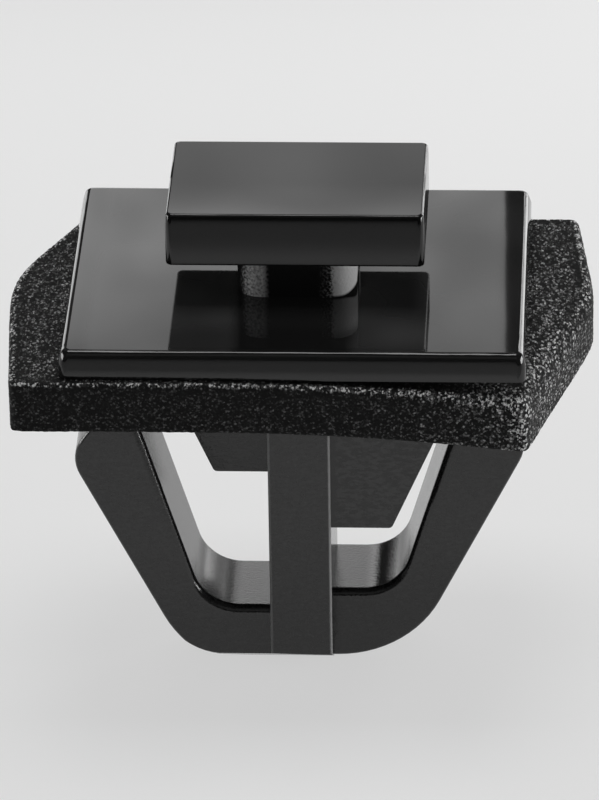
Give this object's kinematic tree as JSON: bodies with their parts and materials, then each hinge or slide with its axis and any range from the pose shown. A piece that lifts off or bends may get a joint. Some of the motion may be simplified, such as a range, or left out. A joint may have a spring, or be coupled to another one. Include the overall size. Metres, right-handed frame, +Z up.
{
  "type": "moulding retainer clip",
  "caption": "Push-in trim clip with a T-head, a flange, a sponge seal and an anchor of two spring arms and two guide plates on a central post.",
  "frame": {"origin": "middle of the flat end of the nose, on the axis of the post", "axes": "+Z up along the post from the nose to the head, +X along the flange's long side, -Y towards the viewer of the picture"},
  "size_m": [0.0261, 0.0171, 0.0236],
  "materials": {
    "black_nylon": "black moulded nylon, polished on the flange and head, fine satin on the anchor",
    "black_sponge": "black open-faced sponge with fine pale cell walls"
  },
  "bodies": {
    "root": {"clip_body": "black_nylon", "foam_seal": "black_sponge"}
  },
  "joints": []
}
